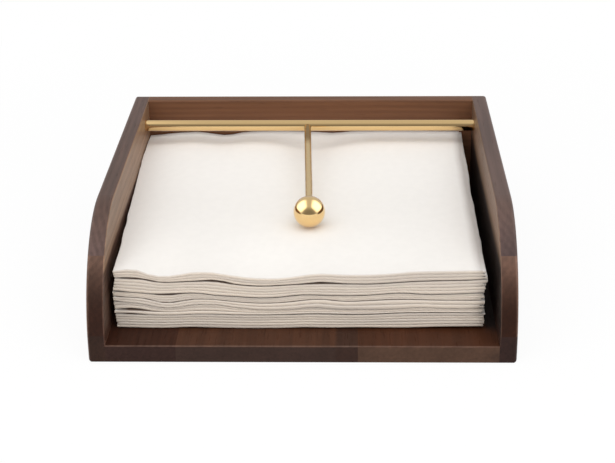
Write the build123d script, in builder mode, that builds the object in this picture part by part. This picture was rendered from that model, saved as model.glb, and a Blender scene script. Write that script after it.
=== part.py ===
from build123d import *
import math
import os

# Countertop napkin holder: an open-fronted walnut tray with a brass T-bar.
# The cross rod of the T turns in blind holes in the two sides, and a ball on
# the end of its arm rests on a stack of folded napkins and holds them down.
#
# Frame: millimetres. X to the right, Y to the back, Z up. The origin is on the
# surface that the tray stands on, under the middle of the tray.

os.makedirs("parts", exist_ok=True)

# ---------------------------------------------------------------- tray sizes
tray_width = 190.0
tray_depth = 190.0
tray_height = 59.0
side_thickness = 7.8
back_thickness = 7.8
base_thickness = 7.8
front_arc_radius = 51.2  # the sides' top edge curves down to the front
inner_ease = 0.8  # edges round the mouth of the tray
outer_ease = 1.5  # edges round the outside of the tray

# Each board is glued up from staves. These are the places of the glue lines.
side_seams = [12.7, 44.7]  # heights above the table
base_seams = [-56.0, 24.8]  # places across the tray
back_seams = [31.0]  # heights above the table

# ------------------------------------------------------------- dowels and glue
dowel_diameter = 4.0
dowel_into_edge = 8.0  # depth in the end or edge of a board
dowel_into_face = 4.5  # depth in the face of a board
glue_gap = 0.05  # round a glued dowel
dowel_end_gap = 0.25  # left at each end of a dowel for the glue
dowel_corner_offset = 17.0  # from a board's end to its first dowel
side_base_dowels = 4  # along each side
side_back_dowel_heights = [22.0, 51.0]

# ------------------------------------------------------------ T-bar and napkins
rod_diameter = 5.9
rod_to_back = 16.0  # from the rod's axis to the inner face of the back
rod_height = 50.6
rod_in_side = 5.0  # depth of the blind holes that hold the rod
rod_end_play = 0.3  # at each end of the rod
rod_clearance = 0.08  # round the rod in its holes

arm_diameter = 3.5
arm_offset = -1.0  # where the arm joins the rod, from the middle
arm_skew = 1.8  # degrees that the arm leans to the right
arm_tenon_diameter = 2.5  # reduced end that is fixed in the rod
arm_tenon_length = 4.0
arm_tenon_bottom_gap = 0.3
arm_in_ball = 8.0
ball_diameter = 15.0
ball_reach = 102.3  # from the rod's axis to the ball's centre
joint_gap = 0.03  # round the brazed ends of the arm

napkin_size = 165.0  # a 330 mm napkin folded in four
napkin_thickness = 1.46
napkins_in_bundle = [5, 3, 2, 3, 4, 2]  # from the bottom up, without the top one
napkin_offset = -1.2  # the stack's middle, from the tray's middle
napkin_to_back = 1.0
napkin_to_base = 0.2
ball_to_napkin = 0.3

on_line = 0.01  # how near an edge's middle lies to the line it is chosen by

# ------------------------------------------------------------------ worked out
inner_half = tray_width / 2 - side_thickness
front = -tray_depth / 2
back = tray_depth / 2
inner_back = back - back_thickness
rod_y = inner_back - rod_to_back
napkin_count = sum(napkins_in_bundle) + 1
stack_bottom = base_thickness + napkin_to_base
stack_top = stack_bottom + napkin_count * napkin_thickness
stack_y = inner_back - napkin_to_back - napkin_size / 2
ball_height = stack_top + ball_to_napkin + ball_diameter / 2
arm_droop = math.degrees(math.asin((rod_height - ball_height) / ball_reach))

# The arm's plane: its origin on the rod's axis, its Z axis along the arm.
arm_direction = Vector(0, -1, 0).rotate(Axis.Z, arm_skew).rotate(Axis.X, arm_droop)
arm_plane = Plane(
    origin=(arm_offset, rod_y, rod_height), x_dir=(1, 0, 0), z_dir=arm_direction
)


def save(piece, name):
    """Label a finished piece and write it under its own name."""
    piece.label = name
    export_step(piece, f"parts/{name}.step")
    return piece


def between(low, seams, high):
    """The stretches from low to high that the seams divide a board into."""
    places = [low, *seams, high]
    return list(zip(places[:-1], places[1:]))


def spaced(low, high, count):
    """Evenly spaced places, the first and last a corner offset from the ends."""
    first = low + dowel_corner_offset
    step = (high - low - 2 * dowel_corner_offset) / (count - 1)
    return [first + step * i for i in range(count)]


# ------------------------------------------------------------- the eased tray
# The boards are glued up square, and the edges are then eased together.
with BuildPart() as tray:
    with BuildSketch(Plane.YZ.offset(-tray_width / 2)):
        with BuildLine():
            arc_top = (front + front_arc_radius, tray_height)
            arc_end = (front, tray_height - front_arc_radius)
            Polyline(arc_end, (front, 0), (back, 0), (back, tray_height), arc_top)
            RadiusArc(arc_top, arc_end, -front_arc_radius)
        make_face()
    extrude(amount=tray_width)
    with BuildSketch(Plane.XY.offset(base_thickness)):
        with Locations((0, inner_back)):
            Rectangle(2 * inner_half, tray_depth, align=(Align.CENTER, Align.MAX))
    extrude(amount=tray_height, mode=Mode.SUBTRACT)
    edges = tray.edges()
    mouth = edges.filter_by(
        lambda edge: edge.geom_type == GeomType.CIRCLE
        and abs(abs(edge.center().X) - inner_half) < on_line
    ) + edges.filter_by(
        lambda edge: abs(edge.center().Z - tray_height) < on_line
        and abs(edge.center().X) < inner_half + on_line
        and edge.center().Y < inner_back + on_line
    )
    fillet(mouth, radius=inner_ease)
    outside = tray.edges().filter_by(
        lambda edge: abs(abs(edge.center().X) - tray_width / 2) < on_line
        or abs(edge.center().Y - back) < on_line
    )
    fillet(outside, radius=outer_ease)

# ------------------------------------------------------------------- dowels
base_middle = base_thickness / 2
back_middle = back - back_thickness / 2
side_base_places = [
    (y, base_middle) for y in spaced(front, inner_back, side_base_dowels)
]
side_back_places = [(back_middle, z) for z in side_back_dowel_heights]
base_back_places = [
    (0.5 * (low + high), base_middle)
    for low, high in between(-inner_half, base_seams, inner_half)
]
dowel_reach = dowel_into_face + dowel_into_edge
dowel_length = dowel_reach - 2 * dowel_end_gap


def dowels(plane, places):
    """Dowels that stand on a plane at the given places, as one group."""
    with BuildPart() as group:
        with BuildSketch(plane):
            with Locations(*places):
                Circle(dowel_diameter / 2)
        extrude(amount=dowel_length)
    return group.part


# Each plane lies at the bottom of the dowels' holes in the outer board.
left_face = Plane.YZ.offset(-inner_half - dowel_into_face + dowel_end_gap)
right_face = Plane.YZ.offset(inner_half - dowel_into_edge + dowel_end_gap)
back_face = Plane(
    origin=(0, inner_back + dowel_into_face - dowel_end_gap, 0),
    x_dir=(1, 0, 0),
    z_dir=(0, -1, 0),
)

with BuildPart() as dowel_holes:
    for plane, places in (
        (left_face.offset(-dowel_end_gap), side_base_places + side_back_places),
        (right_face.offset(-dowel_end_gap), side_base_places + side_back_places),
        (back_face.offset(-dowel_end_gap), base_back_places),
    ):
        with BuildSketch(plane):
            with Locations(*places):
                Circle(dowel_diameter / 2 + glue_gap)
        extrude(amount=dowel_reach)

save(dowels(left_face, side_base_places), "dowels_base_left")
save(dowels(right_face, side_base_places), "dowels_base_right")
save(dowels(left_face, side_back_places), "dowels_back_left")
save(dowels(right_face, side_back_places), "dowels_back_right")
save(dowels(back_face, base_back_places), "dowels_base_back")

# --------------------------------------------------------------- rod's holes
with BuildPart() as rod_holes:
    with BuildSketch(Plane.YZ.offset(-inner_half - rod_in_side)):
        with Locations((rod_y, rod_height)):
            Circle(rod_diameter / 2 + rod_clearance)
    extrude(amount=2 * (inner_half + rod_in_side))


# ------------------------------------------------------------------- staves
def stave(low_corner, high_corner):
    """The part of the eased tray inside a box, with its share of the holes."""
    with BuildPart() as piece:
        add(tray.part)
        size = [high - low for low, high in zip(low_corner, high_corner)]
        with Locations(low_corner):
            Box(*size, align=(Align.MIN, Align.MIN, Align.MIN), mode=Mode.INTERSECT)
        add(dowel_holes.part, mode=Mode.SUBTRACT)
        add(rod_holes.part, mode=Mode.SUBTRACT)
    return piece.part


side_rows = between(0, side_seams, tray_height)
side_names = ["lower", "middle", "upper"]
for name, (low, high) in zip(side_names, side_rows):
    left = stave((-tray_width / 2, front, low), (-inner_half, back, high))
    save(left, f"left_side_{name}_stave")
    right = stave((inner_half, front, low), (tray_width / 2, back, high))
    save(right, f"right_side_{name}_stave")

back_names = ["lower", "upper"]
for name, (low, high) in zip(back_names, between(0, back_seams, tray_height)):
    piece = stave((-inner_half, inner_back, low), (inner_half, back, high))
    save(piece, f"back_{name}_stave")

base_names = ["left", "middle", "right"]
for name, (low, high) in zip(base_names, between(-inner_half, base_seams, inner_half)):
    with BuildPart() as base_stave:
        add(stave((low, front, 0), (high, inner_back, base_thickness)))
        top_edges = base_stave.edges().filter_by(Axis.X).group_by(Axis.Z)[-1]
        fillet(top_edges.sort_by(Axis.Y)[0], radius=inner_ease)
    save(base_stave.part, f"base_{name}_stave")

# --------------------------------------------------------------------- T-bar
rod_half = inner_half + rod_in_side - rod_end_play
with BuildPart() as rod:
    with BuildSketch(Plane.YZ.offset(-rod_half)):
        with Locations((rod_y, rod_height)):
            Circle(rod_diameter / 2)
    extrude(amount=2 * rod_half)
    tenon_depth = arm_tenon_length + arm_tenon_bottom_gap
    with BuildSketch(arm_plane.offset(rod_diameter / 2 - tenon_depth)):
        Circle(arm_tenon_diameter / 2 + joint_gap)
    extrude(amount=rod_diameter, mode=Mode.SUBTRACT)
save(rod.part, "cross_rod")

with BuildPart() as arm:
    with BuildSketch(arm_plane):
        Circle(arm_diameter / 2)
    extrude(amount=ball_reach - ball_diameter / 2 + arm_in_ball)
    with BuildSketch(Plane.YZ.offset(-rod_half)):
        with Locations((rod_y, rod_height)):
            Circle(rod_diameter / 2 + joint_gap)
    extrude(amount=2 * rod_half, mode=Mode.SUBTRACT)
    with BuildSketch(arm_plane.offset(rod_diameter / 2 - arm_tenon_length)):
        Circle(arm_tenon_diameter / 2)
    extrude(amount=arm_tenon_length + arm_diameter / 2)
save(arm.part, "arm")

with BuildPart() as ball:
    ball_centre = arm_plane.origin + arm_direction * ball_reach
    with Locations(ball_centre):
        Sphere(ball_diameter / 2)
    with BuildSketch(arm_plane.offset(ball_reach - ball_diameter)):
        Circle(arm_diameter / 2 + joint_gap)
    extrude(amount=ball_diameter / 2 + arm_in_ball + joint_gap, mode=Mode.SUBTRACT)
save(ball.part, "ball")


# ------------------------------------------------------------------- napkins
def folded_napkin(layer):
    """One folded napkin, counted from the lowest, as a flat slab."""
    with BuildPart() as napkin:
        with BuildSketch(Plane.XY.offset(stack_bottom + layer * napkin_thickness)):
            with Locations((napkin_offset, stack_y)):
                Rectangle(napkin_size, napkin_size)
        extrude(amount=napkin_thickness)
    return napkin.part


lowest = 0
for number, count in enumerate(napkins_in_bundle, start=1):
    layers = range(lowest, lowest + count)
    bundle = Compound(children=[folded_napkin(layer).solid() for layer in layers])
    save(bundle, f"napkin_bundle_{number}")
    lowest += count
save(folded_napkin(lowest), "top_napkin")

print(f"ball centre {ball_centre}, arm droop {arm_droop:.2f} degrees")
print(f"napkins {napkin_count}, stack top {stack_top:.2f}")
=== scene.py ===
"""Looks of a countertop napkin holder: a walnut tray, a brass T-bar and folded napkins.

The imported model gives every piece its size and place, in metres: X to the right,
Y to the back of the tray, Z up, with the origin under the middle of the tray.
"""

from __future__ import annotations

import functools
import logging
import math
import random
from dataclasses import dataclass, replace
from enum import Enum
from typing import Any, Sequence, Union

import bpy
from bpy.types import ID, Material, Node, NodeTree, Object
from bpy.types import NodeSocket as Socket
from mathutils import Matrix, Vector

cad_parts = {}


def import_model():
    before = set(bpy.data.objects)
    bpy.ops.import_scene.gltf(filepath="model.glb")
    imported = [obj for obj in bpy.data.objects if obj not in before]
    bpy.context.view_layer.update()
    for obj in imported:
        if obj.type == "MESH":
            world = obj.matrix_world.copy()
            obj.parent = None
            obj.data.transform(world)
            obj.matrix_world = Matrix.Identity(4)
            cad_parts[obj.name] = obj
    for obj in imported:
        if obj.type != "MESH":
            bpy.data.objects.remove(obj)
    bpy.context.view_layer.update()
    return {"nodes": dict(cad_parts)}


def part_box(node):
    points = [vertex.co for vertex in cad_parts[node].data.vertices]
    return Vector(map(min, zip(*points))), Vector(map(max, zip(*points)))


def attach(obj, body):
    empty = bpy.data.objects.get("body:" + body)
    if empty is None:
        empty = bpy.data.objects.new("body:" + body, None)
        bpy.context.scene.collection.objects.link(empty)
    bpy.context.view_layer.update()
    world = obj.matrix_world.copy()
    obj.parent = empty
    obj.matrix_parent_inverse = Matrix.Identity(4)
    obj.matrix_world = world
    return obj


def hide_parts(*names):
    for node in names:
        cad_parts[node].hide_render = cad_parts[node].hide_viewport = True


LOG = logging.getLogger("napkin_holder")
MM = 0.001
PHOTO_WIDTH = 615  # pixels, the width of the picture that is matched
SENSOR_WIDTH = 36.0  # millimetres
WHITE = (1.0, 1.0, 1.0, 1.0)
ORIGIN = (0.0, 0.0, 0.0)
ACROSS_X = (1.0, 0.0, 0.0)
ALONG_FIBRES = (1.0, 0.16, 1.0)  # draws a pattern out along the wood's fibres, which run along Y
STRANDS = (1.0, 0.03, 1.0)
VESSELS = (1.0, 0.06, 1.0)

Value = Union[Socket, float, int, Sequence[float]]
Colour = tuple[float, float, float]


class GrainAxis(Enum):
    """The way in which a stave's fibres run."""

    ACROSS = "x"
    FRONT_TO_BACK = "y"


class Polish(Enum):
    """How finely a brass piece is polished, as its roughness."""

    MIRROR = 0.085
    DRAWN = 0.07
    BRUSHED = 0.24


class Graph:
    """A node tree that is written from left to right."""

    def __init__(self, tree: NodeTree) -> None:
        """Start writing in a tree."""
        self.tree = tree

    def put(self, value: Value, socket: Socket) -> None:
        """Link a socket to an input, or set the input to a plain value.

        Args:
            value: an output socket, or a number or numbers.
            socket: the input that it feeds.
        """
        if isinstance(value, Socket):
            self.tree.links.new(value, socket)
        else:
            socket.default_value = value

    def feed(self, node: Node, inputs: dict[Any, Value]) -> None:
        """Feed a node's inputs, by name or by number."""
        for name, value in inputs.items():
            self.put(value, node.inputs[name])

    def add(self, kind: str, inputs: dict[Any, Value] | None = None, **settings: Any) -> Node:
        """Add a node.

        Args:
            kind: the node's type name.
            inputs: what feeds its inputs, by name or by number.
            settings: the node's own settings.

        Returns:
            The new node.
        """
        node = self.tree.nodes.new(kind)
        for name, setting in settings.items():
            setattr(node, name, setting)
        self.feed(node, inputs or {})
        return node

    def group(self, tree: NodeTree, inputs: dict[Any, Value]) -> Any:
        """Place a shader group, feed it by name, and return its outputs."""
        return self.add("ShaderNodeGroup", inputs, node_tree=tree).outputs

    def math(self, operation: str, *values: Value) -> Socket:
        """Work out a number with one Math node, and return it."""
        return self.add("ShaderNodeMath", dict(enumerate(values)), operation=operation).outputs[0]

    def plus(self, *values: Value) -> Value:
        """Add numbers up, and return the sum."""
        return functools.reduce(lambda first, second: self.math("ADD", first, second), values)

    def times(self, *values: Value) -> Value:
        """Multiply numbers, and return the product."""
        return functools.reduce(lambda first, second: self.math("MULTIPLY", first, second), values)

    def minus(self, first: Value, second: Value) -> Socket:
        """Return the difference of two numbers."""
        return self.math("SUBTRACT", first, second)

    def linear(self, value: Value, factor: Value, offset: Value) -> Socket:
        """Return a number times a factor, plus an offset."""
        return self.math("MULTIPLY_ADD", value, factor, offset)

    def vector(self, operation: str, first: Value, second: Value) -> Socket:
        """Work out a vector from two vectors, and return it."""
        return self.add("ShaderNodeVectorMath", {0: first, 1: second}, operation=operation).outputs[0]

    def length(self, vector: Value) -> Socket:
        """Return a vector's length."""
        return self.add("ShaderNodeVectorMath", {0: vector}, operation="LENGTH").outputs["Value"]

    def split(self, vector: Value) -> tuple[Socket, ...]:
        """Return a vector's three numbers."""
        return tuple(self.add("ShaderNodeSeparateXYZ", {0: vector}).outputs)

    def join(self, x: Value, y: Value, z: Value) -> Socket:
        """Return the vector of three numbers."""
        return self.add("ShaderNodeCombineXYZ", {0: x, 1: y, 2: z}).outputs[0]

    def ease(
        self, value: Value, low: Value, high: Value, start: Value = 0.0, end: Value = 1.0, kind: str = "SMOOTHSTEP"
    ) -> Socket:
        """Turn a number from start at low to end at high, smoothly unless kind is LINEAR."""
        inputs = {"Value": value, "From Min": low, "From Max": high, "To Min": start, "To Max": end}
        return self.add("ShaderNodeMapRange", inputs, interpolation_type=kind).outputs["Result"]

    def bell(self, value: Value, middle: Value, width: float) -> Socket:
        """Return a smooth hump of height 1, which falls to about a third at its width."""
        away = self.math("DIVIDE", self.minus(value, middle), width)
        return self.math("EXPONENT", self.times(away, away, -1.0))

    def noise(self, vector: Value, scale: float, detail: float = 2.0, shift: Value = 0.0) -> Socket:
        """Return smooth noise from 0 to 1, whose shift along a fourth axis is its seed."""
        inputs = {"Vector": vector, "Scale": scale, "Detail": detail, "W": shift}
        return self.add("ShaderNodeTexNoise", inputs, noise_dimensions="4D").outputs[0]

    def blend(self, factor: Value, first: Value, second: Value, mode: str = "MIX") -> Socket:
        """Mix two colours, with the factor as the second one's share, and return the result."""
        inputs = {0: factor, 6: first, 7: second}
        return self.add("ShaderNodeMix", inputs, data_type="RGBA", blend_type=mode).outputs[2]

    def tint(self, colour: Value, by: Colour) -> Socket:
        """Multiply a colour by another, and return the product."""
        return self.blend(1.0, colour, opaque(by), "MULTIPLY")

    def bump(self, height: Value, strength: float, distance: float) -> Socket:
        """Return the normal of a surface that is roughened by a height."""
        inputs = {"Height": height, "Strength": strength, "Distance": distance}
        return self.add("ShaderNodeBump", inputs).outputs[0]

    def store(self, mesh: Value, name: str, value: Value) -> Socket:
        """Keep a value on a mesh for its material to read.

        Args:
            mesh: the mesh.
            name: the attribute's name, UVMap for a sheet's own flat coordinates.
            value: what is kept.

        Returns:
            The mesh with the attribute.
        """
        kind = {"data_type": "FLOAT2", "domain": "CORNER"} if name == "UVMap" else {"data_type": "FLOAT"}
        node = self.add("GeometryNodeStoreNamedAttribute", {"Geometry": mesh, "Name": name}, **kind)
        self.put(value, next(socket for socket in node.inputs if socket.name == "Value" and socket.enabled))
        return node.outputs[0]

    def choose(self, index: Value, values: Sequence[Value]) -> Socket:
        """Pick one of several numbers.

        Args:
            index: which one.
            values: the numbers.

        Returns:
            The one that index names.
        """
        node = self.add("GeometryNodeIndexSwitch", data_type="FLOAT")
        while len(node.index_switch_items) < len(values):
            node.index_switch_items.new()
        self.feed(node, dict(enumerate((index, *values))))
        return node.outputs[0]


def opaque(colour: Colour) -> tuple[float, float, float, float]:
    """Return a colour with full alpha."""
    return (*colour, 1.0)


def shader_group(name: str, inputs: dict[str, Any], outputs: Sequence[str]) -> tuple[Graph, Any, Any]:
    """Begin a shader node group with named sockets.

    Args:
        name: the group's name.
        inputs: each input's name and first value, three numbers for a vector.
        outputs: the names of its outputs, all of them plain numbers.

    Returns:
        The graph to write in, its inputs and where its outputs are written.
    """
    tree = bpy.data.node_groups.new(name, "ShaderNodeTree")
    for title, value in inputs.items():
        kind = "NodeSocketFloat" if isinstance(value, float) else "NodeSocketVector"
        socket = tree.interface.new_socket(name=title, in_out="INPUT", socket_type=kind)
        socket.default_value = value
    for title in outputs:
        tree.interface.new_socket(name=title, in_out="OUTPUT", socket_type="NodeSocketFloat")
    graph = Graph(tree)
    return graph, graph.add("NodeGroupInput").outputs, graph.add("NodeGroupOutput").inputs


def place_object(name: str, data: ID) -> Object:
    """Add an object to the scene.

    Args:
        name: its name.
        data: its mesh, light or camera.

    Returns:
        The object.
    """
    made = bpy.data.objects.new(name, data)
    bpy.context.scene.collection.objects.link(made)
    return made


def make_plate(name: str, width: float, depth: float) -> Object:
    """Make a flat rectangle about the origin.

    Args:
        name: its name.
        width: its size along X.
        depth: its size along Y.

    Returns:
        The rectangle.
    """
    x, y = width / 2, depth / 2
    mesh = bpy.data.meshes.new(name)
    mesh.from_pydata([(-x, -y, 0.0), (x, -y, 0.0), (x, y, 0.0), (-x, y, 0.0)], [], [(0, 1, 2, 3)])
    return place_object(name, mesh)


def wood_grain_group() -> NodeTree:
    """Make the group that grows wood round a pith line along Y.

    Returns:
        The group, whose outputs are the year rings, the fibres, the pores and
        the slow drift of colour, each from 0 to 1.
    """
    graph, given, made = shader_group(
        "wood_grain",
        {"Place": ORIGIN, "Pith": ORIGIN, "Ring Width": 0.0025, "Waviness": 0.006, "Seed": 0.0},
        ("Rings", "Fibres", "Pores", "Drift"),
    )
    place, seed = given["Place"], given["Seed"]
    along = graph.vector("MULTIPLY", place, ALONG_FIBRES)
    sway = graph.minus(graph.noise(along, scale=30.0, detail=4.0, shift=seed), 0.5)
    bend = graph.times(sway, given["Waviness"])
    x, _, z = graph.split(graph.vector("SUBTRACT", place, given["Pith"]))
    radius = graph.math("SQRT", graph.plus(graph.times(x, x), graph.times(z, z)))
    rings = graph.math("DIVIDE", graph.plus(radius, bend), given["Ring Width"])
    wave = graph.math("SINE", graph.times(rings, 2.0 * math.pi))
    strength = graph.noise(along, scale=90.0, detail=1.0, shift=graph.plus(seed, 3.0))
    graph.put(graph.times(graph.ease(wave, -0.9, 1.0), strength), made["Rings"])
    strands = graph.vector("MULTIPLY", place, STRANDS)
    graph.put(graph.noise(strands, scale=620.0, detail=4.0, shift=seed), made["Fibres"])
    vessels = graph.noise(graph.vector("MULTIPLY", place, VESSELS), scale=1500.0, detail=1.0, shift=seed)
    graph.put(graph.ease(vessels, 0.6, 0.7), made["Pores"])
    graph.put(graph.noise(along, scale=60.0, detail=5.0, shift=graph.plus(seed, 7.0)), made["Drift"])
    return graph.tree


def end_face_group() -> NodeTree:
    """Make the group that finds end grain, which soaks up lacquer and looks darker.

    Returns:
        The group, whose output is 1 on faces that cut across the Y axis.
    """
    graph, given, made = shader_group("end_face", {"Normal": (0.0, 0.0, 1.0), "Start": 0.6}, ("End",))
    _, across, _ = graph.split(given["Normal"])
    graph.put(graph.ease(graph.math("ABSOLUTE", across), given["Start"], 1.0), made["End"])
    return graph.tree


def line_group() -> NodeTree:
    """Make the group for a line in the wood, such as a streak, a worn edge, or painted light or painted shade on a
    face or the floor.

    Returns:
        The group, whose output is 1 in the line. A zero in Keep leaves an axis out.
    """
    inputs = {"Place": ORIGIN, "Line": ORIGIN, "Keep": ACROSS_X, "Width": 0.005, "Seed": 0.0}
    graph, given, made = shader_group("line_mask", inputs, ("Mask",))
    away = graph.vector("SUBTRACT", given["Place"], given["Line"])
    distance = graph.length(graph.vector("MULTIPLY", away, given["Keep"]))
    along = graph.vector("MULTIPLY", given["Place"], ALONG_FIBRES)
    ragged = graph.noise(along, scale=130.0, detail=3.0, shift=given["Seed"])
    reach = graph.times(given["Width"], graph.plus(ragged, 0.5))
    near = graph.minus(1.0, graph.math("DIVIDE", distance, reach))
    graph.put(graph.ease(near, -0.15, 0.3), made["Mask"])
    return graph.tree


def fine_marks_group() -> NodeTree:
    """Make the group for the faint marks that handling leaves on lacquer and brass.

    Returns:
        The group, whose output is about one half and changes slowly and finely.
    """
    graph, given, made = shader_group("fine_marks", {"Place": ORIGIN, "Seed": 0.0}, ("Marks",))
    broad = graph.noise(given["Place"], scale=45.0, detail=2.0, shift=given["Seed"])
    fine = graph.noise(given["Place"], scale=700.0, detail=2.0, shift=given["Seed"])
    graph.put(graph.linear(fine, 0.4, graph.times(broad, 0.6)), made["Marks"])
    return graph.tree


@dataclass
class EffectGroups:
    """The shader groups that several finishes share."""

    grain: NodeTree
    end_face: NodeTree
    line: NodeTree
    marks: NodeTree


def new_material(name: str) -> tuple[Material, Graph, Node]:
    """Begin a material.

    Args:
        name: its name.

    Returns:
        The material, the graph to write in and its Principled BSDF.
    """
    material = bpy.data.materials.new(name)
    material.use_nodes = True
    return material, Graph(material.node_tree), material.node_tree.nodes["Principled BSDF"]


@dataclass(frozen=True)
class WoodLine:
    """A line through the wood, such as a heartwood streak or a worn edge, or a thin layer of it; also painted light
    and painted shade.
    """

    place: tuple[float, float, float]
    across: tuple[float, float, float]  # how narrow the line is along each axis, 0 where it runs on
    width: float
    colour: Colour
    strength: float = 1.0

    def mask(self, graph: Graph, effects: EffectGroups, place: Value) -> Value:
        """Return how much of the line shows at a place."""
        given = {"Place": place, "Line": self.place, "Keep": self.across, "Width": self.width}
        return graph.times(graph.group(effects.line, given)[0], self.strength)


@dataclass(frozen=True)
class WoodFinish:
    """Satin-lacquered wood, cut from its own place in the tree."""

    colour: Colour
    name: str = "walnut"
    seed: float = 0.0
    contrast: float = 0.38
    end_shade: Colour = (1.0, 1.0, 1.0)  # the end grain's colour as a share of the long grain's
    end_start: float = 0.6  # how far a face has to turn towards the grain before that begins
    pith: tuple[float, float, float] = (0.03, 0.0, -0.05)
    ring_width: float = 0.0026
    axis: GrainAxis = GrainAxis.FRONT_TO_BACK
    roughness: float = 0.5
    specular: float = 0.12
    coat: float = 0.26
    coat_roughness: float = 0.28
    lines: tuple[WoodLine, ...] = ()
    ring_weight: float = 0.28  # how much each part of the grain changes the tone
    end_ring_weight: float = 0.06
    drift_weight: float = 0.8
    fibre_weight: float = 0.6
    tone_shift: float = -0.33
    pore_weight: float = 0.22
    pore_shade: float = 0.4
    marks_weight: float = 0.12
    end_dullness: float = 0.9  # how much less coat the end grain shows

    def material(self, effects: EffectGroups) -> Material:
        """Make the finish.

        Args:
            effects: the groups that finishes share.

        Returns:
            The material.
        """
        material, graph, shader = new_material(self.name)
        texture = graph.add("ShaderNodeTexCoord").outputs
        place, normal = texture["Object"], texture["Normal"]
        if self.axis is GrainAxis.ACROSS:
            place, normal = (self.swap(graph, vector) for vector in (place, normal))
        grown = {"Place": place, "Pith": self.pith, "Ring Width": self.ring_width, "Seed": self.seed}
        rings, fibres, pores, drift = graph.group(effects.grain, grown)
        end = graph.group(effects.end_face, {"Normal": normal, "Start": self.end_start})[0]
        marks = graph.group(effects.marks, {"Place": place, "Seed": self.seed})[0]
        ring_share = graph.linear(end, self.end_ring_weight - self.ring_weight, self.ring_weight)
        tone = graph.plus(
            graph.times(rings, ring_share),
            graph.times(drift, self.drift_weight),
            graph.linear(fibres, self.fibre_weight, self.tone_shift),
        )
        dark, light = (opaque((1.0 + change,) * 3) for change in (-self.contrast, self.contrast))
        figure = graph.blend(graph.ease(tone, 0.05, 0.95), dark, light)
        figure = graph.blend(graph.times(pores, self.pore_weight), figure, opaque((self.pore_shade,) * 3))
        colour = graph.tint(figure, self.colour)
        colour = graph.blend(end, colour, graph.tint(colour, self.end_shade))
        for line in self.lines:
            mask = line.mask(graph, effects, texture["Object"])
            colour = graph.blend(mask, colour, graph.tint(figure, line.colour))
        rough = graph.linear(marks, self.marks_weight, self.roughness - self.marks_weight / 2)
        height = graph.linear(pores, -0.6, graph.times(fibres, 0.4))
        graph.feed(shader, {
            "Base Color": colour,
            "Roughness": graph.linear(pores, 0.15, rough),
            "Specular IOR Level": self.specular,
            "Coat Weight": graph.linear(end, -self.end_dullness * self.coat, self.coat),
            "Coat Roughness": self.coat_roughness,
            "Normal": graph.bump(height, strength=0.2, distance=0.0002),
        })
        return material

    @staticmethod
    def swap(graph: Graph, vector: Value) -> Socket:
        """Return a vector with X and Y exchanged, for wood whose grain runs across."""
        x, y, z = graph.split(vector)
        return graph.join(y, x, z)


@dataclass(frozen=True)
class BrassFinish:
    """Lacquered brass."""

    name: str
    polish: Polish
    colour: Colour
    lacquer: float = 0.7
    rim: float = 1.0  # how bright it stays where it curves out of sight
    darkening: WoodLine | None = None
    worn_share: float = 0.92  # how bright the colour is where it is handled most

    def material(self, effects: EffectGroups) -> Material:
        """Make the finish.

        Args:
            effects: the groups that finishes share.

        Returns:
            The material.
        """
        material, graph, shader = new_material(self.name)
        place = graph.add("ShaderNodeTexCoord").outputs["Object"]
        marks = graph.group(effects.marks, {"Place": place})[0]
        worn = tuple(self.worn_share * channel for channel in self.colour)
        colour = graph.blend(marks, opaque(worn), opaque(self.colour))
        if self.darkening:
            colour = graph.blend(self.darkening.mask(graph, effects, place), colour, opaque(self.darkening.colour))
        graph.feed(shader, {
            "Base Color": colour,
            "Metallic": 1.0,
            "Specular Tint": opaque((self.rim,) * 3),
            "Roughness": graph.linear(marks, 0.4 * self.polish.value, 0.8 * self.polish.value),
            "Coat Weight": self.lacquer,
            "Coat Roughness": 0.05,
        })
        return material


@dataclass(frozen=True)
class PaperFinish:
    """Soft three-ply napkin paper, greyer and warmer where it is folded, partly its own folded edges and partly
    painted shade on the stack's front, with painted shade inside the slits.
    """

    name: str = "napkin_paper"
    colour: Colour = (0.935, 0.905, 0.865)
    # the folded front: partly the paper's folded edges, partly painted shade where less light falls on the stack's
    # front
    fold_colour_and_shade: Colour = (0.60, 0.512, 0.422)
    fold_shade: Colour = (0.50, 0.432, 0.368)
    slit_shade_colour: Colour = (0.26, 0.19, 0.15)  # painted shade inside the slits at the front, where little light comes
    cloud_share: float = 0.985  # how bright the faint clouds in the paper are

    def material(self) -> Material:
        """Make the finish, and return the material."""
        material, graph, shader = new_material(self.name)
        place = graph.add("ShaderNodeTexCoord").outputs["Object"]
        cloud = graph.noise(place, scale=260.0, detail=3.0)
        strands = graph.vector("MULTIPLY", place, (1.0, 0.35, 1.0))
        fibre = graph.noise(strands, scale=1500.0, detail=2.0, shift=3.0)
        kept = (graph.add("ShaderNodeAttribute", attribute_name=name) for name in ("fold", "tint", "inner"))
        fold, tint, inner = (node.outputs["Fac"] for node in kept)
        warm = graph.blend(tint, opaque(self.fold_shade), opaque(self.fold_colour_and_shade))
        cloudy = opaque(tuple(self.cloud_share * channel for channel in self.colour))
        colour = graph.blend(graph.ease(cloud, 0.35, 0.65), cloudy, opaque(self.colour))
        colour = graph.blend(fold, colour, warm)
        height = graph.linear(fibre, 0.5, cloud)
        graph.feed(shader, {
            "Base Color": graph.blend(inner, colour, opaque(self.slit_shade_colour)),
            "Roughness": graph.linear(fibre, 0.1, 0.87),
            "Specular IOR Level": 0.15,
            "Normal": graph.bump(height, strength=0.15, distance=0.00015),
        })
        return material


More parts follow.
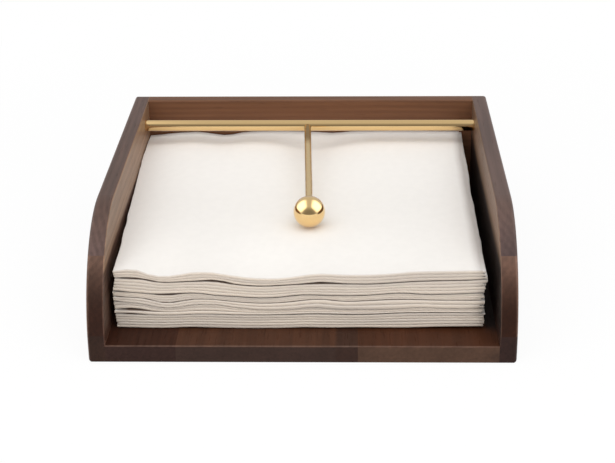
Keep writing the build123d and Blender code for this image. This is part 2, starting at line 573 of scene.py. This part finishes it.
@dataclass(frozen=True)
class PhotoCamera:
    """The camera that took the photograph, fitted to the tray's corners and arcs."""

    place: tuple[float, float, float] = (0.0200, -0.6770, 0.3255)
    yaw: float = -1.66  # degrees, to the right
    pitch: float = 24.22  # degrees, down
    roll: float = -0.66  # degrees
    focal_length: float = 1498.8  # pixels

    def build(self) -> None:
        """Make the camera and look through it."""
        data = bpy.data.cameras.new("photo_camera")
        data.sensor_fit = "HORIZONTAL"
        data.sensor_width = SENSOR_WIDTH
        data.lens = self.focal_length * SENSOR_WIDTH / PHOTO_WIDTH
        data.clip_start = 0.01
        camera = place_object("photo_camera", data)
        camera.matrix_world = Matrix.Translation(self.place)
        for angle, axis in ((-self.yaw, "Z"), (90.0 - self.pitch, "X"), (self.roll, "Z")):
            camera.matrix_world @= Matrix.Rotation(math.radians(angle), 4, axis)
        bpy.context.scene.camera = camera


@dataclass
class Studio:
    """A white table under an overhead light, between two softboxes that metal and lacquer show."""

    box_slope: float = 1.45  # metres, down each side
    box_depth: float = 1.75
    box_middle: tuple[float, float, float] = (0.61, -0.07, 0.55)
    box_light: float = 2.5  # where 1 is white
    slope_fade: tuple[float, float] = (0.3, 0.96)  # where it fades out, as shares of its half size
    depth_fade: tuple[float, float] = (0.25, 0.96)
    overhead_light: float = 1.05
    overhead_size: float = 2.5
    overhead_place: tuple[float, float, float] = (0.0, -0.72, 0.98)
    fill_light: float = 0.37
    front_light: float = 0.3
    room_light: tuple[float, float] = (0.63, 0.66)  # what metal shows of the room, low and high
    back_light: float = 0.4  # its share behind the camera
    floor_size: float = 8.0
    floor_shadow: float = 0.09  # how much of the floor's own shading shows near the object
    shadow_reach: tuple[float, float] = (0.2, 0.45)  # metres from the middle, where that fades out

    def build(self) -> None:
        """Make the floor, the softboxes and the world, and set plain colours."""
        bpy.context.scene.view_settings.view_transform = "Standard"
        self.make_floor()
        for side in (-1, 1):
            self.make_softbox(side)
        self.make_overhead()
        self.make_world()

    def make_floor(self) -> None:
        """Make the pale floor, which shows as white with a soft shadow."""
        floor = make_plate("floor", self.floor_size, self.floor_size)
        material, graph, shader = new_material("white_table")
        graph.feed(shader, {"Base Color": WHITE, "Roughness": 0.8})
        away = graph.length(graph.add("ShaderNodeNewGeometry").outputs["Position"])
        plain = graph.ease(away, *self.shadow_reach, 1.0 - self.floor_shadow, 1.0)
        glow = graph.add("ShaderNodeEmission", {"Color": WHITE, "Strength": 1.0})
        self.cover(graph, shader, glow, graph.times(self.seen_rays(graph), plain))
        floor.data.materials.append(material)

    @staticmethod
    def cover(graph: Graph, shader: Node, glow: Node, mask: Value) -> None:
        """Show a glow over a shader where a mask is 1."""
        mix = graph.add("ShaderNodeMixShader", {0: mask, 1: shader.outputs[0], 2: glow.outputs[0]})
        graph.put(mix.outputs[0], graph.tree.nodes["Material Output"].inputs["Surface"])

    @staticmethod
    def seen_rays(graph: Graph) -> Socket:
        """Return 1 for rays that show the background: straight, in metal or through glass."""
        path = graph.add("ShaderNodeLightPath").outputs
        kinds = ("Is Camera Ray", "Is Glossy Ray", "Is Transmission Ray")
        return graph.math("MINIMUM", graph.plus(*(path[kind] for kind in kinds)), 1.0)

    def make_softbox(self, side: int) -> None:
        """Make one softbox, which fades out towards its edges.

        Args:
            side: -1 for the left one, 1 for the right one.
        """
        box = make_plate("softbox", self.box_slope, self.box_depth)
        x, y, z = self.box_middle
        box.location = (side * x, y, z)
        box.rotation_euler = (0.0, side * math.atan2(x, z), 0.0)
        for rays in ("camera", "diffuse", "transmission", "volume_scatter", "shadow"):
            setattr(box, f"visible_{rays}", False)
        material, graph, _ = new_material("softbox")
        u, v, _ = graph.split(graph.add("ShaderNodeTexCoord").outputs["Object"])
        fades = []
        for place, size, (start, end) in ((u, self.box_slope, self.slope_fade), (v, self.box_depth, self.depth_fade)):
            half = size / 2
            fades.append(graph.ease(graph.math("ABSOLUTE", place), start * half, end * half, 1.0, 0.0))
        glow = graph.add("ShaderNodeEmission", {"Strength": self.box_light})
        self.cover(graph, graph.add("ShaderNodeBsdfTransparent"), glow, graph.times(*fades))
        box.data.materials.append(material)

    def make_overhead(self) -> None:
        """Make the overhead light, which metal and lacquer do not show."""
        data = bpy.data.lights.new("overhead", "AREA")
        data.shape = "SQUARE"
        data.size = self.overhead_size
        data.energy = self.overhead_light * math.pi * self.overhead_size ** 2
        light = place_object("overhead", data)
        light.location = self.overhead_place
        _, y, z = self.overhead_place
        light.rotation_euler = (math.atan2(-y, z), 0.0, 0.0)
        light.visible_camera = False
        light.visible_glossy = False

    def make_world(self) -> None:
        """Make the room: white where it is seen, even fill light elsewhere."""
        world = bpy.data.worlds.new("studio")
        world.use_nodes = True
        bpy.context.scene.world = world
        graph = Graph(world.node_tree)
        _, y, z = graph.split(graph.add("ShaderNodeTexCoord").outputs["Generated"])
        above = graph.ease(z, 0.2, 0.95, *self.room_light)
        room = graph.times(above, graph.ease(y, -0.95, -0.4, self.back_light, 1.0))
        camera = graph.add("ShaderNodeLightPath").outputs["Is Camera Ray"]
        seen = self.seen_rays(graph)
        shine = graph.times(graph.minus(seen, camera), room)
        fill = graph.ease(y, -0.7, 0.5, self.fill_light + self.front_light, self.fill_light)
        unseen = graph.times(graph.minus(1.0, seen), fill)
        strength = graph.plus(camera, shine, unseen)
        graph.feed(world.node_tree.nodes["Background"], {"Color": WHITE, "Strength": strength})


@dataclass
class Tray:
    """The walnut tray, whose boards are glued up from staves, and its dowels."""

    left_upper: Colour = (0.104, 0.058, 0.044)
    left_middle: Colour = (0.152, 0.079, 0.052)
    left_lower: Colour = (0.100, 0.046, 0.030)
    right_upper: Colour = (0.122, 0.073, 0.059)
    right_middle: Colour = (0.178, 0.093, 0.062)
    right_lower: Colour = (0.045, 0.022, 0.016)
    back: Colour = (0.160, 0.070, 0.035)
    base_left: Colour = (0.042, 0.0155, 0.009)
    base_middle: Colour = (0.068, 0.0257, 0.0125)
    base_right: Colour = (0.065, 0.0215, 0.009)
    beech: Colour = (0.50, 0.34, 0.19)
    # a lighter line along the base's front top edge: partly wear, partly a painted highlight of its rounded edge
    worn: Colour = (0.24, 0.16, 0.125)
    pale: Colour = (0.285, 0.165, 0.095)  # painted light: a paler colour on the inner faces of the upper staves, where light falls on them
    heartwood: Colour = (0.034, 0.0145, 0.0095)
    painted_inner_shade: Colour = (0.022, 0.0145, 0.0125)  # painted shade on the inner faces of the sides' middle staves beside the napkins
    shadowed: Colour = (0.013, 0.008, 0.007)  # painted shadow on the tray's floor in the narrow gap beside the napkins
    streak_place: float = 0.0205
    streak_width: float = 0.0058
    worn_depth: float = 0.0006
    worn_width: float = 0.0005
    face_depth: float = 0.0003  # how deep the painted light or shade on an inner face goes

    def finishes(self) -> dict[str, WoodFinish]:
        """Choose each stave's own finish.

        Returns:
            The finish for each stave's node.
        """
        low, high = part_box("base_middle_stave")
        worn = WoodLine((0.0, low.y + self.worn_depth, high.z), (0.0, 1.0, 1.0), self.worn_width, self.worn, 0.28)
        streak = WoodLine((self.streak_place, 0.0, 0.0), ACROSS_X, self.streak_width, self.heartwood, 0.7)
        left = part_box("left_side_upper_stave")[1].x
        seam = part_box("left_side_upper_stave")[0].z
        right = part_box("right_side_upper_stave")[0].x
        # the seam lines carry that painted light a little below the seam, onto the middle staves
        seam_left = WoodLine((left, 0.0, seam), (12.0, 0.0, 1.0), 0.0058, self.pale, 0.9)
        seam_right = WoodLine((right, 0.0, seam), (12.0, 0.0, 1.0), 0.0048, self.pale, 0.5)
        # painted shadow on the floor of the gap between the napkins and the right side, ending at the stack's front
        gap_shadow = WoodLine((right, 0.02, 0.0), (1.0, 0.1, 0.0), 0.0105, self.shadowed, 0.9)
        gap_shadow_end = WoodLine((right, -0.0605, 0.0), (1.0, 0.55, 0.0), 0.0105, self.shadowed, 0.85)
        back = WoodFinish(self.back, axis=GrainAxis.ACROSS, coat=0.15, contrast=0.24)
        base = {"coat": 0.03, "contrast": 0.28}
        staves = {
            "left_side_lower": WoodFinish(self.left_lower, end_shade=(0.33, 0.31, 0.29), coat=0.4),
            "left_side_middle": WoodFinish(
                self.left_middle, end_shade=(0.205, 0.125, 0.09), pith=(-0.02, 0.0, -0.04),
                lines=(self.face(left, self.painted_inner_shade, 0.35), seam_left)),
            "left_side_upper": WoodFinish(
                self.left_upper, end_shade=(1.25, 1.4, 1.7), end_start=0.3, pith=(-0.15, 0.0, 0.02),
                lines=(self.face(left, self.pale, 0.95),)),
            "right_side_lower": WoodFinish(self.right_lower, end_shade=(0.60, 0.53, 0.56)),
            "right_side_middle": WoodFinish(
                self.right_middle, end_shade=(0.19, 0.095, 0.04), pith=(0.16, 0.0, -0.02),
                lines=(self.face(right, self.painted_inner_shade, 0.95), seam_right)),
            "right_side_upper": WoodFinish(
                self.right_upper, end_shade=(0.5, 0.51, 0.62), end_start=0.1, pith=(0.05, 0.0, 0.0),
                lines=(self.face(right, self.pale, 0.6),)),
            "back_lower": back,
            "back_upper": back,
            "base_left": WoodFinish(
                self.base_left, end_shade=(0.87, 1.2, 1.68), specular=0.06, lines=(worn,), **base),
            "base_middle": WoodFinish(
                self.base_middle, end_shade=(0.60, 0.82, 1.24), pith=(-0.02, 0.0, -0.06), lines=(streak, worn),
                **base),
            "base_right": WoodFinish(
                self.base_right, end_shade=(1.18, 1.84, 2.75), pith=(0.09, 0.0, -0.09),
                lines=(worn, gap_shadow, gap_shadow_end), **base),
        }
        return {
            f"{name}_stave": replace(finish, name="walnut_" + name.replace("_side", ""), seed=float(number))
            for number, (name, finish) in enumerate(staves.items(), 1)
        }

    def face(self, x: float, colour: Colour, strength: float) -> WoodLine:
        """Return the line that paints a side board's inner face with painted light or painted shade."""
        return WoodLine((x, 0.0, 0.0), ACROSS_X, self.face_depth, colour, strength)

    def dress(self, nodes: dict[str, Object], effects: EffectGroups) -> None:
        """Give each stave and dowel its finish.

        Args:
            nodes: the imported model's nodes, by name.
            effects: the groups that finishes share.
        """
        for name, finish in self.finishes().items():
            dress_node(nodes[name], finish.material(effects))
        beech = WoodFinish(self.beech, name="beech_dowel", contrast=0.25, ring_width=0.0015, coat=0.0)
        material = beech.material(effects)
        for name in sorted(nodes):
            if name.startswith("dowels_"):
                dress_node(nodes[name], material)


@dataclass
class TBar:
    """The brass cross rod, its arm and the ball."""

    rod: Colour = (0.88, 0.61, 0.285)
    arm: Colour = (0.97, 0.725, 0.40)
    ball: Colour = (0.90, 0.625, 0.28)
    darkening: Colour = (0.30, 0.165, 0.05)  # darker near where the arm meets the rod
    darkening_reach: float = 0.027

    def dress(self, nodes: dict[str, Object], effects: EffectGroups) -> None:
        """Give the brass pieces their polish.

        Args:
            nodes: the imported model's nodes, by name.
            effects: the groups that finishes share.
        """
        _, depth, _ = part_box("arm")[1]
        darkening = WoodLine((0.0, depth, 0.0), (0.0, 1.0, 0.0), self.darkening_reach, self.darkening, 0.8)
        finishes = {
            "cross_rod": BrassFinish("brass_cross_rod", Polish.DRAWN, self.rod, lacquer=0.4),
            "arm": BrassFinish("brass_arm", Polish.BRUSHED, self.arm, lacquer=0.35, rim=0.45, darkening=darkening),
            "ball": BrassFinish("brass_ball", Polish.MIRROR, self.ball),
        }
        for name, finish in finishes.items():
            dress_node(nodes[name], finish.material(effects))


def dress_node(node: Object, material: Material) -> None:
    """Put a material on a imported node, and report it."""
    if not node.material_slots:
        node.data.materials.append(material)
    for slot in node.material_slots:
        slot.material = material
    LOG.info("%s wears %s", node.name, material.name)


@dataclass(frozen=True)
class Profile:
    """How far a line between napkins rises or falls along the tray's width, all in millimetres."""

    points: dict[float, float]
    reach: float = 90.0
    span: float = 12.0

    def height(self, graph: Graph, x: Value) -> Socket:
        """Read the profile.

        Args:
            graph: where it is worked out.
            x: the place across the tray, in metres.

        Returns:
            The rise there, in metres.
        """
        share = graph.linear(x, 0.5 / (self.reach * MM), 0.5)
        node = graph.add("ShaderNodeFloatCurve", {"Value": share})
        curve = node.mapping.curves[0]
        places = [(0.5 + 0.5 * x / self.reach, 0.5 + rise / self.span) for x, rise in self.points.items()]
        curve.points[0].location, curve.points[1].location = (0.0, places[0][1]), (1.0, places[-1][1])
        for place in places:
            curve.points.new(*place)
        node.mapping.update()
        return graph.linear(node.outputs[0], self.span * MM, -0.5 * self.span * MM)


@dataclass(frozen=True)
class Slit:
    """A narrow opening between two groups of napkins in the front of the stack."""

    under: int  # the group of napkins over it, from the lowest
    place: float  # millimetres, across the tray
    height: float
    width: float


@dataclass
class NapkinStack:
    """Twenty napkins of soft paper, each folded in four, that swell towards the back."""

    bundles: tuple[int, ...] = (5, 3, 2, 3, 4, 2, 1)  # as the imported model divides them
    groups: tuple[int, ...] = (5, 1, 2, 2, 3, 4, 3)  # as they cling together
    group_shifts: tuple[float, ...] = (0.1, -0.4, -0.5, -0.6, -0.6, -0.1, 0.2)  # millimetres
    group_setbacks: tuple[float, ...] = (0.3, 0.0, 0.5, 0.1, 0.6, 0.2, 0.0)
    group_skews: tuple[float, ...] = (1.2, 1.6, 1.6, 1.6, 1.6, 2.3, 2.4)
    side: float = 165.0  # millimetres, like all that follow
    sheet: float = 0.2  # its thickness
    fold_depth: float = 0.5  # of a round fold's
    fold_segments: int = 6
    leaf_segments: int = 34
    fold_strip: float = 2.0  # millimetres each side of a fold that get the fine segments
    flat_rise: float = 0.1
    edges: tuple[Profile, ...] = (
        Profile({
            -84: 0.5, -62: 0.1, -51: 0.6, -43: 0.4, -28: 0.05, -17: 0.05, -5: 0.3, 1: 0.6, 9: 0.4, 25: 0.6,
            45: 0.5, 62: 1.0, 80: 1.2}),
        Profile({
            -84: -0.3, -62: -0.8, -45: -0.3, -28: -0.7, -10: -0.6, 5: -0.2, 25: -0.5, 48: 0.5, 80: 0.6}),
        Profile({
            -84: 0.2, -74: 0.0, -62: -0.6, -45: 0.1, -28: -0.6, -17: -0.9, 5: -0.2, 25: -0.6, 50: 0.2, 80: 0.3}),
        Profile({
            -84: 1.5, -76: 1.0, -65: -1.2, -61: -1.7, -52: -0.5, -45: 0.2, -28: -1.6, -17: -2.6, -5: -2.3,
            5: -1.4, 14: -2.1, 28: -2.3, 41: -2.1, 52: -1.3, 63: -1.7, 80: -1.8}),
        Profile({
            -84: 0.9, -72: 0.3, -65: -1.6, -61: -2.1, -54: -1.1, -47: -0.2, -41: -0.3, -30: -1.5, -17: -2.2,
            -6: -1.5, 1: -0.6, 8: -0.1, 19: -1.2, 30: -0.8, 43: -0.2, 60: -0.5, 80: -0.6}),
        Profile({
            -84: -1.1, -78: -1.3, -67: -2.3, -61: -2.8, -54: -2.0, -50: -1.7, -39: -2.9, -30: -3.4, -18: -4.1,
            -10: -3.7, 1: -2.5, 12: -2.8, 25: -2.9, 34: -2.3, 45: -1.6, 52: -2.1, 65: -2.1, 80: -1.5}),
        Profile({
            -84: -0.2, -72: -0.6, -62: -2.2, -52: -1.8, -42: -1.6, -30: -3.2, -18: -4.0, -10: -3.6, -1: -3.0,
            9: -2.7, 30: -2.9, 39: -2.4, 50: -1.6, 61: -1.2, 74: -0.9, 80: -0.6}),
        Profile({
            -84: -0.5, -77: 0.2, -70: -1.6, -63: -3.2, -55: -2.4, -45: -1.1, -35: -2.2, -22: -4.0, -14: -4.3,
            -4: -3.4, 3: -2.2, 9: -1.8, 17: -2.3, 26: -2.4, 38: -1.9, 50: -0.8, 62: -0.5, 80: -0.2}),
    )
    front_reach: float = 28.0
    slits: tuple[Slit, ...] = (
        Slit(6, -77.0, 0.5, 11.0), Slit(6, -38.0, 0.75, 6.5), Slit(6, 8.5, 0.75, 6.0), Slit(6, 0.0, 0.65, 200.0),
        Slit(5, -60.0, 0.75, 5.0), Slit(5, -84.0, 0.6, 3.0), Slit(5, 0.0, 0.7, 200.0),
        Slit(4, -84.0, 0.5, 3.0), Slit(4, 0.0, 0.35, 200.0),
        Slit(3, -84.0, 0.6, 3.0), Slit(3, 0.0, 0.35, 200.0),
        Slit(2, -77.0, 1.3, 8.0),
        Slit(1, -79.0, 0.9, 8.0), Slit(1, 30.0, 0.75, 90.0),
    )
    slit_reach: float = 20.0
    inner_start: tuple[float, float] = (0.55, 1.2)  # from the front fold, where paper lies inside a slit and gets painted shade
    inner_end: tuple[float, float] = (6.0, 14.0)
    inner_side: tuple[float, float] = (0.5, 4.0)  # from either side, where that starts
    swell: float = 4.2
    back_edge: Profile = Profile({
        -87: -2.0, -76: -0.9, -68: -0.3, -61: 0.0, -56: -0.5, -52: -1.1, -47: -1.8, -41: -1.3, -34: 0.0,
        -20: 0.4, 0: 0.0, 8: -0.4, 14: -0.7, 19: 0.0, 30: 0.4, 60: 0.4, 82: 0.2})
    back_reach: float = 20.0
    lane_place: float = 2.0  # the ball rolls here and presses the stack flat
    lane_width: float = 17.0
    lane_end: float = 16.0  # millimetres before the back edge
    lean_from: float = 10.0  # behind the front edge, where the left side starts to lean out
    lean_to: float = 110.0
    wander: float = 1.2
    overhang: float = 0.5
    fray_strip: float = 12.0  # at the right edge
    fray_length: float = 2.2
    fray_bias: float = 0.65  # how much more the leaves end short than long
    shift_play: float = 0.35  # how much a napkin differs from its group
    setback_play: float = 0.2
    skew_play: float = 0.3
    misfold_x: float = 1.3  # the most that a sheet is folded off its middle
    misfold_y: float = 1.0
    seed: int = 11
    seed_step: float = 3.7

    def build(self) -> None:
        """Make every napkin, and let it stand for its bundle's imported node."""
        low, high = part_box("top_napkin")
        self.front, self.back = low.y, high.y
        self.left, self.right = low.x, high.x
        self.top = high.z
        self.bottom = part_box("napkin_bundle_1")[0].z
        self.count = sum(self.groups)
        self.leaf_gap = ((self.top - self.bottom) / self.count - self.sheet * MM) / 3
        tree = self.fold_tree(PaperFinish().material())
        chance = random.Random(self.seed)
        nodes = [f"napkin_bundle_{number + 1}" for number in range(len(self.bundles) - 1)] + ["top_napkin"]
        owners = [node for node, size in zip(nodes, self.bundles) for _ in range(size)]
        places = [(group, order) for group, size in enumerate(self.groups) for order in range(size)]
        for layer, (node, (group, order)) in enumerate(zip(owners, places)):
            piece = self.make_napkin(tree, layer, group, order, chance)
            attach(piece, "napkins")
            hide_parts(node)
            LOG.info("%s lies in %s", piece.name, node)

    def make_napkin(
        self, tree: NodeTree, layer: int, group: int, order: int, chance: random.Random
    ) -> Object:
        """Make one napkin as a plain mesh.

        Args:
            tree: the geometry nodes that fold a napkin.
            layer: how many napkins lie under it.
            group: the group that it clings to, from the lowest.
            order: its place in that group, from the lowest.
            chance: where small differences are drawn from.

        Returns:
            The napkin's object.
        """
        name = f"napkin_{layer + 1:02d}"
        draft = place_object(name + "_draft", bpy.data.meshes.new(name + "_draft"))
        folds = draft.modifiers.new("folds", "NODES")
        folds.node_group = tree
        values = {
            "Group": group,
            "Low Share": order / self.groups[group],
            "Share": 1.0 / self.groups[group],
            "Seed": self.seed_step * layer,
            "Shift X": (self.group_shifts[group] + chance.uniform(-self.shift_play, self.shift_play)) * MM,
            "Shift Y": (self.group_setbacks[group] + chance.uniform(0.0, self.setback_play)) * MM,
            "Skew": (self.group_skews[group] + chance.uniform(-self.skew_play, self.skew_play)) * MM,
            "Misfold X": chance.uniform(-self.misfold_x, self.misfold_x) * MM,
            "Misfold Y": chance.uniform(-self.misfold_y, self.misfold_y) * MM,
            "Covered": float(layer + 1 < self.count),
        }
        sockets = {item.name: item.identifier for item in tree.interface.items_tree if item.in_out == "INPUT"}
        for title, value in values.items():
            folds[sockets[title]] = value
        paper = draft.modifiers.new("paper", "SOLIDIFY")
        paper.thickness = self.sheet * MM
        paper.offset = 0.0
        finished = draft.evaluated_get(bpy.context.evaluated_depsgraph_get())
        mesh = bpy.data.meshes.new_from_object(finished)
        bpy.data.objects.remove(draft)
        mesh.name = name
        return place_object(name, mesh)

    def fold_tree(self, paper: Material) -> NodeTree:
        """Write the geometry nodes that fold a flat sheet in four and lay it on the stack.

        Args:
            paper: the napkins' material.

        Returns:
            The tree.
        """
        tree = bpy.data.node_groups.new("folded_napkin", "GeometryNodeTree")
        tree.interface.new_socket(name="Napkin", in_out="OUTPUT", socket_type="NodeSocketGeometry")
        tree.interface.new_socket(name="Group", in_out="INPUT", socket_type="NodeSocketInt")
        for title in ("Low Share", "Share", "Seed", "Shift X", "Shift Y", "Skew", "Misfold X", "Misfold Y", "Covered"):
            tree.interface.new_socket(name=title, in_out="INPUT", socket_type="NodeSocketFloat")
        graph = Graph(tree)
        given = graph.add("NodeGroupInput").outputs
        vertices = 2 * (self.fold_segments + self.leaf_segments) + 1
        grid = graph.add("GeometryNodeMeshGrid", {0: 2.0, 1: 2.0, 2: vertices, 3: vertices})
        across, along, _ = graph.split(graph.add("GeometryNodeInputPosition").outputs[0])
        over_x = graph.plus(self.from_fold(graph, across), given["Misfold X"])
        over_y = graph.plus(self.from_fold(graph, along), given["Misfold Y"])
        reach_x, up = self.bend(graph, over_x, self.leaf_gap / 2, 0.0)
        reach_y, height = self.bend(graph, over_y, self.leaf_gap, up)
        x = graph.minus(graph.plus(given["Shift X"], self.left + self.leaf_gap / 2), reach_x)
        y = graph.minus(graph.plus(given["Shift Y"], self.front + self.leaf_gap), reach_y)
        leaf = graph.linear(graph.math("SIGN", over_x), 2.0, graph.math("SIGN", over_y))
        x = self.ragged(graph, x, y, leaf, given)
        z = self.lie(graph, x, y, height, given)
        tint = graph.noise(graph.join(x, 0.0, 0.0), scale=12.0, detail=1.0, shift=given["Seed"])
        kept = {
            "tint": graph.ease(tint, 0.35, 0.65),
            "fold": graph.bell(over_y, 0.0, 0.9 * MM),
            "inner": self.slit_shade_mask(graph, over_x, over_y, given["Covered"]),
            "UVMap": grid.outputs[1],
        }
        mesh = grid.outputs[0]
        for name, value in kept.items():
            mesh = graph.store(mesh, name, value)
        placed = graph.add("GeometryNodeSetPosition", {"Geometry": mesh, "Position": graph.join(x, y, z)})
        smooth = graph.add("GeometryNodeSetShadeSmooth", {0: placed.outputs[0]})
        real = graph.add("GeometryNodeRealizeInstances", {0: smooth.outputs[0]})
        painted = graph.add("GeometryNodeSetMaterial", {"Geometry": real.outputs[0], "Material": paper})
        graph.add("NodeGroupOutput", {0: painted.outputs[0]})
        return tree

    def slit_shade_mask(self, graph: Graph, over_x: Value, over_y: Value, shadowed: Value) -> Value:
        """Find the paper that shows through the slits at the front, away from the stack's sides, for the painted shade
        there.

        Args:
            graph: where it is worked out.
            over_x: the distance along the sheet from the fold at the left.
            over_y: the distance along the sheet from the fold at the front.
            shadowed: 1 for a napkin with another on it, whose slits then get painted shade.

        Returns:
            1 where the paper lies in a slit and gets painted shade.
        """
        near, far = self.inner_side
        from_front, from_side = (graph.math("ABSOLUTE", over) for over in (over_y, over_x))
        return graph.times(
            graph.ease(from_front, *(MM * place for place in self.inner_start)),
            graph.ease(from_front, *(MM * place for place in self.inner_end), 1.0, 0.0),
            shadowed,
            graph.ease(from_side, near * MM, far * MM),
            graph.ease(from_side, (self.side - far) * MM, (self.side - near) * MM, 1.0, 0.0),
        )

    def from_fold(self, graph: Graph, share: Value) -> Socket:
        """Turn a grid coordinate from -1 to 1 into metres from the fold, finely near it.

        Args:
            graph: where it is worked out.
            share: the coordinate.

        Returns:
            The distance from the fold, with its sign.
        """
        size = graph.math("ABSOLUTE", share)
        turn = self.fold_segments / (self.fold_segments + self.leaf_segments)
        near = graph.ease(size, 0.0, turn, 0.0, self.fold_strip * MM, kind="LINEAR")
        far = graph.ease(size, turn, 1.0, 0.0, (self.side - self.fold_strip) * MM, kind="LINEAR")
        return graph.times(graph.plus(near, far), graph.math("SIGN", share))

    def bend(self, graph: Graph, over: Value, radius: float, up: Value) -> tuple[Value, Value]:
        """Fold a sheet back on itself round a small radius.

        Args:
            graph: where it is worked out.
            over: the distance along the sheet from the fold.
            radius: the radius of the fold's middle layer.
            up: how far the sheet lies outside that layer.

        Returns:
            How far past the fold's centre the point is, and its height.
        """
        quarter = math.pi * radius / 2
        turned = graph.math("DIVIDE", graph.plus(over, quarter), radius)
        turned = graph.math("MAXIMUM", graph.math("MINIMUM", turned, math.pi), 0.0)
        arm = graph.plus(up, radius)
        before = graph.math("MINIMUM", graph.plus(over, quarter), 0.0)
        after = graph.math("MAXIMUM", graph.minus(over, quarter), 0.0)
        straight = graph.minus(before, after)
        out = graph.times(arm, self.fold_depth, graph.math("SINE", turned))
        height = graph.times(arm, graph.math("COSINE", turned), -1.0)
        return graph.plus(out, straight), height

    def ragged(self, graph: Graph, x: Value, y: Value, leaf: Value, given: Any) -> Socket:
        """Let the left side lean out towards the back, and the open edges at the right end a little apart.

        Args:
            graph: where it is worked out.
            x: the point's place across the tray.
            y: the point's place from front to back.
            leaf: which of the four leaves the point is on.
            given: the napkin's named inputs.

        Returns:
            The place across the tray.
        """
        path, seed = graph.join(0.0, y, 0.0), given["Seed"]
        broad, fine = (graph.minus(graph.noise(path, scale, 1.0, seed), 0.5) for scale in (18.0, 75.0))
        wander = graph.linear(graph.linear(fine, 1.1, broad), self.wander * MM, self.overhang * MM)
        turn = graph.ease(y, self.front + self.lean_from * MM, self.front + self.lean_to * MM)
        share = graph.ease(x, self.left, self.right, 1.0, 0.0)
        x = graph.minus(x, graph.times(graph.linear(given["Skew"], turn, wander), share))
        near = graph.ease(x, self.right - self.fray_strip * MM, self.right)
        uneven = graph.noise(graph.join(leaf, y, 0.0), scale=45.0, detail=1.0, shift=seed)
        longer = graph.times(graph.minus(uneven, self.fray_bias), self.fray_length * MM)
        return graph.plus(x, graph.times(near, longer))

    def lie(self, graph: Graph, x: Value, y: Value, height: Value, given: Any) -> Socket:
        """Lay a folded point on the napkins below it.

        Args:
            graph: where it is worked out.
            x: the point's place across the tray.
            y: the point's place from front to back.
            height: its height over its own napkin's middle.
            given: the napkin's named inputs.

        Returns:
            The point's height over the table.
        """
        front = graph.bell(y, self.front, self.front_reach * MM)
        opened = graph.bell(y, self.front, self.slit_reach * MM)
        lane = graph.times(graph.bell(x, self.lane_place * MM, self.lane_width * MM),
                           graph.ease(y, self.back - self.lane_end * MM, self.back, 1.0, 0.0))
        swell = graph.ease(y, 0.0, self.back, self.flat_rise * MM, self.swell * MM)
        back = graph.times(graph.bell(y, self.back, self.back_reach * MM), self.back_edge.height(graph, x))
        raised = graph.times(graph.plus(swell, back), graph.minus(1.0, lane))
        levels = [sum(self.groups[:number]) / self.count for number in range(len(self.groups) + 1)]
        lines, gaps = [], []
        for number, (level, edge) in enumerate(zip(levels, self.edges)):
            waved = graph.times(front, edge.height(graph, x))
            base = self.bottom + level * (self.top - self.bottom)
            lines.append(graph.plus(graph.linear(raised, level, waved), base))
            humps = [
                graph.times(graph.bell(x, slit.place * MM, slit.width * MM), slit.height * MM)
                for slit in self.slits if slit.under == number
            ]
            gaps.append(graph.times(opened, graph.plus(*humps)) if humps else 0.0)
        above = graph.plus(given["Group"], 1.0)
        low = graph.plus(graph.choose(given["Group"], lines), graph.choose(given["Group"], gaps))
        room = graph.minus(graph.choose(above, lines), low)
        middle = graph.linear(given["Share"], 0.5, given["Low Share"])
        stretch = self.count / (self.top - self.bottom)
        thickness = graph.times(room, given["Share"], stretch)
        return graph.linear(height, thickness, graph.linear(middle, room, low))


def main() -> None:
    """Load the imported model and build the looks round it."""
    logging.basicConfig(level=logging.INFO, format="%(name)s: %(message)s")
    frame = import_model()
    PhotoCamera().build()
    Studio().build()
    effects = EffectGroups(wood_grain_group(), end_face_group(), line_group(), fine_marks_group())
    Tray().dress(frame["nodes"], effects)
    TBar().dress(frame["nodes"], effects)
    NapkinStack().build()


if __name__ == "__main__":
    main()
